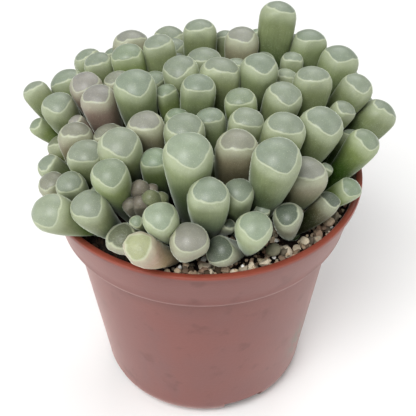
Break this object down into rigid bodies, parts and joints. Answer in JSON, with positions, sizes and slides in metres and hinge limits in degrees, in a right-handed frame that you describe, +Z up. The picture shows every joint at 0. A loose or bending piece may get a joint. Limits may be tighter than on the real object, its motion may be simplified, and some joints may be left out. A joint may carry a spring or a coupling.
{
  "type": "potted succulent",
  "caption": "Clump of windowed club-shaped succulent toes in a round tapered plastic nursery pot with a collar, potting mix and front grit.",
  "frame": {"origin": "middle of the pot's flat foot, on the surface it stands on", "axes": "+Z up along the pot's axis; -Y towards the front, where the grit shows; +X to the right seen from the front"},
  "size_m": [0.1031, 0.0975, 0.1126],
  "materials": {
    "pot_plastic": "matt brick-red, thin and slightly see-through",
    "potting_mix": "loose dark peat",
    "grit": "loose beige, tan and grey grit",
    "stone": "dull stone",
    "toe": "smooth waxy grey-green skin with a clear window at the tip",
    "young_toe": "smooth grey-green and mauve skin",
    "old_toe": "wrinkled pale skin"
  },
  "bodies": {
    "root": {"fallen_toe": "old_toe", "grit": "grit", "head_01": "toe", "head_02": "toe", "head_03": "toe", "head_04": "toe", "head_05": "toe", "head_06": "toe", "head_07": "toe", "head_08": "toe", "head_09": "toe", "head_10": "toe", "head_11": "toe", "head_12": "toe", "head_13": "toe", "head_14": "toe", "head_15": "toe", "head_16": "toe", "head_17": "toe", "head_18": "toe", "head_19": "toe", "head_20": "toe", "head_21": "toe", "head_22": "toe", "head_23": "toe", "head_24": "toe", "head_25": "toe", "head_26": "toe", "head_27": "toe", "head_28": "toe", "head_29": "toe", "head_30": "toe", "head_31": "toe", "head_32": "toe", "head_33": "toe", "head_34": "toe", "head_35": "toe", "head_36": "toe", "head_37": "toe", "head_38": "toe", "head_39": "toe", "head_40": "toe", "head_41": "toe", "head_42": "toe", "head_43": "toe", "head_44": "toe", "head_45": "toe", "head_46": "toe", "head_47": "toe", "head_48": "toe", "head_49": "toe", "head_50": "toe", "pot": "pot_plastic", "soil": "potting_mix", "stone_1": "stone", "stone_2": "stone", "stone_3": "stone", "stone_4": "stone", "young_head": "young_toe"}
  },
  "joints": []
}
